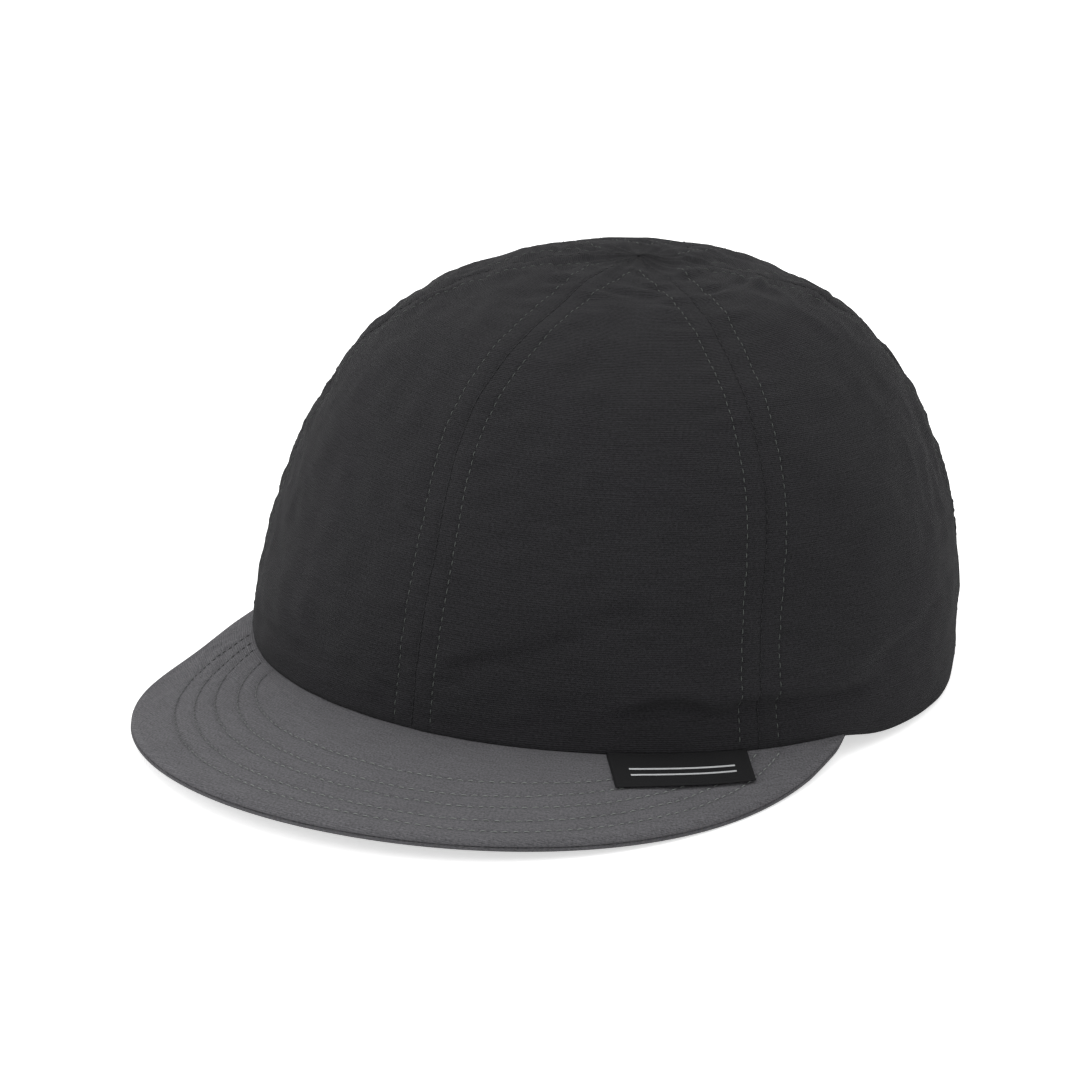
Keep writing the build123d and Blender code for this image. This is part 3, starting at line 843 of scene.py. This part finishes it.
# Sections of the rolled edges, as steps out from the edge and levels: outside and inside of each cover
UPPER_LIP = [(-1.15, 1.52), (-0.72, 1.28), (-0.38, 0.92), (-0.17, 0.5), (-0.12, 0.08), (-0.3, -0.28),
             (-0.8, -0.42)]
UPPER_BACK = [(-1.3, 0.9), (-1.05, 0.78), (-0.88, 0.58), (-0.8, 0.32), (-0.78, 0.08), (-0.85, -0.12),
              (-0.95, -0.25)]
LOWER_LIP = [(-0.95, -1.62), (-0.45, -1.54), (-0.14, -1.3), (0.0, -1.0), (-0.1, -0.74), (-0.36, -0.54),
             (-0.8, -0.44)]
LOWER_BACK = [(-1.3, -1.0), (-1.1, -0.98), (-0.95, -0.92), (-0.86, -0.84), (-0.84, -0.74), (-0.88, -0.64),
              (-0.95, -0.52)]


def brim_cover(name, node, upper):
    """One cover of the brim. Both covers roll over the edge and meet in the edge seam."""
    phi, share = np.linspace(-CUT, CUT, 300), np.concatenate([[-1], np.linspace(0, 1, 110)])
    pp, ss = np.meshgrid(phi, share, indexing="ij")
    small = np.clip(brim_reach(pp) / 3.2, 0.1, 1)
    out = brim_reach(pp) - 1.6 * small
    w = np.where(ss < 0, -TUCK, np.minimum(out, 0) + ss * np.maximum(out, 0))
    edge, size = brim_reach(phi)[:, None], small[:, :1]

    def lip(path):
        off, level = np.array(path).T
        return brim(phi[:, None], edge + off * size, level[None] + 0 * edge, 0)

    if upper:
        outside = brim(pp, w, FACE), lip(UPPER_LIP)
        inside = brim(pp, w, LINING, 0.6), lip(UPPER_BACK)
    else:
        outside = brim(pp, w, -FACE, 0.3), lip(LOWER_LIP)
        inside = brim(pp, w, -LINING, 0.3), lip(LOWER_BACK)
    arc_w = np.concatenate([w, edge - 1 + 0.5 * np.arange(7)[None]], 1)
    near = np.full(arc_w.shape, 9.0)
    for row in BRIM_ROWS:
        at = brim_row(row, phi)[:, None]
        near = np.minimum(near, np.where(at > 0, np.abs(arc_w - at), 9.0))
    attrs = {"gu": np.radians(phi)[:, None] * (R + 30) + 0 * arc_w, "gv": arc_w, "row": near}
    skins = [np.concatenate(skin, 1) for skin in (outside, inside)]
    if not upper:
        skins.reverse()
    sheet(name, *skins, brim_cloth, "brim_fabric", [node], attrs)


def brim_stiffener():
    """The flexible board between the covers, cut a little inside their edge."""
    share = np.concatenate([[-1], np.linspace(0, 1, 40)])
    pp, ss = np.meshgrid(np.linspace(-70, 70, 120), share, indexing="ij")
    w = np.where(ss < 0, -4.4, ss * np.maximum(0.96 * brim_reach(pp) - 1.2, 0.3))
    finish = plastic("board_finish", (0.5, 0.5, 0.48), 0.6)
    sheet("brim_stiffener", brim(pp, w, BOARD, 0.4), brim(pp, w, -BOARD, 0.3), finish, "board_plastic",
          ["brim_board"])


def brim_run(row, level, up):
    """A sewn row's points and normals, on the upper face or, with up at -1, on the lower."""
    end = row[1] - 0.6
    phi = ROW_CENTRE + np.linspace(-end, end, 400)
    w = brim_row(row, phi)
    phi, w = phi[w > 0.4], w[w > 0.4]
    n = normals(lambda a, b: brim(a, b, level), phi, w, 0.05)
    return brim(phi, w, level), n * np.sign(n[:, 2:3]) * up


brim_cover("brim_upper_cloth", "brim_top_cover", True)
brim_cover("brim_lower_cloth", "brim_under_cover", False)
brim_stiffener()
upper_rows = [brim_run(row, FACE, 1) for row in BRIM_ROWS]
lower_rows = [brim_run(row, -FACE, -1) for row in BRIM_ROWS]
make("brim_topstitches", *stitches(upper_rows, 2.8, 0.66, 0.18, 0.12), brim_thread, "cap", "brim_fabric")
make("brim_understitches", *stitches(lower_rows, 3.0, 0.72, 0.23, 0.0), brim_thread, "cap", "brim_fabric")


# ---- Label ------------------------------------------------------------------------------------
LABEL_PATTERN = 40.0                             # mm of woven pattern along it
LABEL_LONG, LABEL_OUT, LABEL_ANGLE = 38.4, 15.0, 43.4
LABEL_SKEW = 1.23, 0.96                          # how far out its two ends reach, as shares
LABEL_BARS = [(6.9, 7.6), (9.6, 10.3)]           # two plain woven bars, from and to
BAR_INSET = 5.0


def label_cloth():
    """Black label weave with its bars in a pale thread."""
    m = Nodes("label_cloth", (0.018, 0.018, 0.0185), 0.7, 0.02)
    m.bsdf.inputs["Specular IOR Level"].default_value = 0.15
    u, v = m.attr("gu"), m.attr("gv")
    twill = m.math("SINE", m.math("MULTIPLY", m.math("ADD", u, v), 2 * pi / 0.42))
    fine = m.noise(m.scaled(u, 4.0, v, 4.0), 1.0)

    def between(value, low, high):
        return m.math("MULTIPLY", m.math("GREATER_THAN", value, low), m.math("LESS_THAN", value, high))

    across = between(u, BAR_INSET, LABEL_PATTERN - BAR_INSET)
    marks = m.total(*((m.math("MULTIPLY", across, between(v, *bar)), 1.0) for bar in LABEL_BARS))
    base = m.tint(fine, (0.005, 0.005, 0.0055), (0.013, 0.013, 0.014))
    top = m.node("ShaderNodeMix", data_type="RGBA")
    m.link(marks, top.inputs["Factor"])
    m.link(base, top.inputs["A"])
    top.inputs["B"].default_value = (0.55, 0.56, 0.57, 1)
    m.link(top.outputs["Result"], m.bsdf.inputs["Base Color"])
    return m.finish(m.bump(m.total((twill, 0.5), (marks, 1.5)), 0.00007))


def label():
    """A folded woven label that lies from the seam onto the brim, sewn in a little askew."""
    along = np.linspace(0, LABEL_PATTERN, 61)
    out = np.concatenate([[0.3], np.linspace(0.8, LABEL_OUT - 0.6, 24), [LABEL_OUT - 0.2, LABEL_OUT]])
    aa, ww = np.meshgrid(along, out, indexing="ij")
    share = aa / LABEL_PATTERN
    phi = LABEL_ANGLE + (share * 2 - 1) * np.degrees(LABEL_LONG / 2 / (R + ww))
    edge = np.minimum(np.minimum(aa, LABEL_PATTERN - aa), LABEL_OUT - ww)
    rounding = 0.28 * bell(edge, 0.35)
    free = np.clip((ww - 6) / 9, 0, 1) ** 2 * (1 - np.abs(share * 2 - 1) * 0.5)
    lift = 0.35 * free + 0.12 * np.sin(aa / 6.3) * ww / LABEL_OUT
    reach = ww * (LABEL_SKEW[0] + (LABEL_SKEW[1] - LABEL_SKEW[0]) * share)
    upper = brim(phi, reach, 2.42 + lift - rounding, 0)
    lower = brim(phi, reach, 1.74 + lift * 0.9 + rounding, 0)
    attrs = {"gu": aa, "gv": ww}
    sheet("label_tab", upper, lower, label_cloth(), "label_fabric", ["woven_label"], attrs)


label()


# ---- Drawcord ---------------------------------------------------------------------------------
CORD_DEPTH = 3.6                                 # how deep in the casing the cord runs
CORD_FROM_BACK = radians(52.5)                   # where each end is sewn in
STRAND = 1.6                                     # each strand's height from the middle of the lock
CORD_R, BRAID, PLAITS, CORD_STEP = 1.17, 0.045, 4, 0.35
LOOP_HALF, LOOP_MID, LOOP_LONG = 4.5, 8.4, 14.0
LOCK_TRAVEL = 15.5                               # of straight strand behind the lock, for its slide


def hermite(p0, t0, p1, t1, pull=1.0, count=24):
    """A smooth curve between two points that leaves and arrives along the given directions."""
    p0, t0, p1, t1 = (np.asarray(a, float) for a in (p0, t0, p1, t1))
    span = np.linalg.norm(p1 - p0) * pull
    t = np.linspace(0, 1, count)[:, None]
    return ((2 * t**3 - 3 * t**2 + 1) * p0 + (t**3 - 2 * t**2 + t) * t0 * span
            + (3 * t**2 - 2 * t**3) * p1 + (t**3 - t**2) * t1 * span)


def unit(v):
    return v / np.linalg.norm(v)


def cord_half(side, level, near, far):
    """From the cord's end in the casing, out through an eyelet and straight through the lock."""
    across = R - CORD_DEPTH
    turns = np.linspace(pi / 2 - CORD_FROM_BACK, np.arccos((EYELET_X + CORD_DEPTH) / across), 40)
    y = OVAL * across * np.sin(turns) + LEAN * CORD_Z
    tunnel = rest(side * across * np.cos(turns), y, 0 * turns + CORD_Z)
    eyelet = rest(side * EYELET_X, y[-1] + 4.6, CORD_Z)
    way = rest(0.0, 1.0, 0.0) - rest(0.0, 0.0, 0.0)
    bend = hermite(tunnel[-1], unit(tunnel[-1] - tunnel[-2]), eyelet, way, 1.1)
    run = hermite(eyelet, way, (0, near, level), (0, 1, 0))
    straight = np.linspace((0, near, level), (0, far, level), 30)
    return np.concatenate([tunnel, bend[1:], run[1:], straight[1:]])


def cord_points():
    """The whole cord: both halves, one above the other in the lock, and the loop that joins them."""
    low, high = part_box("cord_lock_barrel")
    near, far = low.y / MM - 0.5, high.y / MM + LOCK_TRAVEL
    top, bottom = CORD_Z + STRAND, CORD_Z - STRAND
    wide = far + LOOP_MID
    marks = np.array([(0, far, top), (LOOP_HALF, wide, top - 1.2), (0, far + LOOP_LONG, CORD_Z - 0.8),
                      (-LOOP_HALF, wide, bottom + 0.4), (0, far, bottom)])
    slopes = [(0, 1, 0)] + [unit(marks[i + 1] - marks[i - 1]) for i in (1, 2, 3)] + [(0, -1, 0)]
    loop = [hermite(marks[i], slopes[i], marks[i + 1], slopes[i + 1], 1.15)[1:] for i in range(4)]
    back = cord_half(-1, bottom, near, far)[::-1]
    return np.concatenate([cord_half(1, top, near, far), *loop, back[1:]])


def drawcord():
    """The round elastic cord with its braided cover."""
    pts = cord_points()
    length = lengths(pts)
    pts = read_along(pts, length, np.linspace(0, length[-1], int(length[-1] / CORD_STEP)))
    turns = np.arange(20)[None] * 2 * pi / 20
    twist = np.arange(len(pts))[:, None] * CORD_STEP * 2.2
    braid = np.abs(np.sin(PLAITS * turns + twist)) + np.abs(np.sin(PLAITS * turns - twist))
    cover = thread("cord_braid", (0.016, 0.016, 0.017))
    make("elastic_cord", *tube(pts, CORD_R + BRAID * braid), cover, "cap", "cord_fabric", ["drawcord"])


def spring():
    """The lock's spring, with closed end coils."""
    low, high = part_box("cord_lock_spring")
    wire, coil, turns = 0.25, 2.4, 5.5
    along = np.linspace(0, 1, 320)
    turn = turns * 2 * pi * along
    length = (high.x - low.x) / MM - 2 * wire
    x = low.x / MM + wire + length * (along - 0.12 * np.sin(2 * pi * along))
    centre = (low + high) / 2
    pts = np.stack([x, centre.y / MM + coil * np.cos(turn), centre.z / MM + coil * np.sin(turn)], -1)
    steel = plastic("spring_finish", (0.5, 0.5, 0.51), 0.25, 3000.0, 0.00001, 1.0)
    obj = make("spring_coil", *tube(pts, np.full((len(pts), 10), wire)), steel, "cord_lock", "spring_steel",
               ["cord_lock_spring"])
    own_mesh(obj)


drawcord()
spring()


# ---- CAD pieces that keep their shape get their finish ----------------------------------------
def dress(node, material):
    """Gives a CAD piece its finish and leaves its shape alone."""
    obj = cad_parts[node]
    obj.data.materials.clear()
    obj.data.materials.append(material)


dress("cord_lock_barrel", plastic("lock_plastic_finish", (0.013, 0.013, 0.014), 0.45))
dress("cord_lock_button", plastic("button_finish", (0.018, 0.018, 0.019), 0.38))
dress("bump_shell", plastic("shell_finish", (0.028, 0.028, 0.031), 0.5, 900.0, 0.00006))
eyelet_finish = plastic("eyelet_finish", (0.09, 0.09, 0.095), 0.32, 2500.0, 0.00001, 1.0)
for node in ("left_eyelet", "right_eyelet"):
    dress(node, eyelet_finish)


# ---- Floor, light and camera ------------------------------------------------------------------
FLOOR_HALF, FLOOR_DROP, FLOOR_GLOW = 9.0, 0.0003, 0.6
SKY_LIGHT = 0.82
AZ, EL = radians(33.1), radians(20.3)            # the photo's angle
DISTANCE, VIEW_WIDE, SENSOR = 1634.0, 295.89, 36.0
AIM_HEIGHT, AIM_LEFT, AIM_BELOW = 45.0, 16.986, 10.411


def floor():
    """A floor that stays white to the camera but lights the cap only as pale paint would."""
    h = FLOOR_HALF
    mesh = bpy.data.meshes.new("floor")
    mesh.from_pydata([(-h, -h, 0), (h, -h, 0), (h, h, 0), (-h, h, 0)], [], [(0, 1, 2, 3)])
    obj = bpy.data.objects.new("floor", mesh)
    bpy.context.collection.objects.link(obj)
    obj.location.z = -FLOOR_DROP
    m = Nodes("floor_white", (0.9, 0.9, 0.9), 0.95)
    m.bsdf.inputs["Specular IOR Level"].default_value = 0.0
    m.bsdf.inputs["Emission Color"].default_value = (1, 1, 1, 1)
    seen = m.node("ShaderNodeLightPath").outputs["Is Camera Ray"]
    m.link(m.math("MULTIPLY", seen, FLOOR_GLOW), m.bsdf.inputs["Emission Strength"])
    mesh.materials.append(m.mat)


def look(obj, location, direction):
    """Puts a lamp or the camera at a place and turns it along a direction."""
    obj.location = location
    obj.rotation_mode = "QUATERNION"
    obj.rotation_quaternion = direction.to_track_quat("-Z", "Y")
    bpy.context.collection.objects.link(obj)


def softbox(name, location, size, power, target=(0, 0, 0.05)):
    data = bpy.data.lights.new(name, "AREA")
    data.shape = "RECTANGLE"
    data.size, data.size_y = size
    data.energy = power
    look(bpy.data.objects.new(name, data), location, Vector(target) - Vector(location))


def sky():
    world = bpy.data.worlds.new("studio")
    world.use_nodes = True
    light = world.node_tree.nodes["Background"].inputs
    light["Color"].default_value = (1, 1, 1, 1)
    light["Strength"].default_value = SKY_LIGHT
    bpy.context.scene.world = world


def camera():
    """The camera stands off the wearer's front left and aims a little left of and below the cap's middle."""
    back = Vector((sin(AZ) * cos(EL), -cos(AZ) * cos(EL), sin(EL)))
    right = Vector((cos(AZ), sin(AZ), 0))
    up = back.cross(right)
    data = bpy.data.cameras.new("camera")
    data.sensor_width = SENSOR
    data.lens = SENSOR * DISTANCE / VIEW_WIDE
    data.clip_start, data.clip_end = 0.05, 50
    obj = bpy.data.objects.new("camera", data)
    off = back * DISTANCE - right * AIM_LEFT - up * AIM_BELOW
    look(obj, (Vector((0, 0, AIM_HEIGHT)) + off) * MM, -back)
    bpy.context.scene.camera = obj


floor()
sky()
softbox("top_softbox", (-0.3, 0.3, 1.5), (1.6, 1.6), 9)
softbox("front_softbox", (-0.9, -1.3, 0.9), (1.2, 1.0), 7)
camera()
bpy.context.scene.view_settings.view_transform = "Standard"
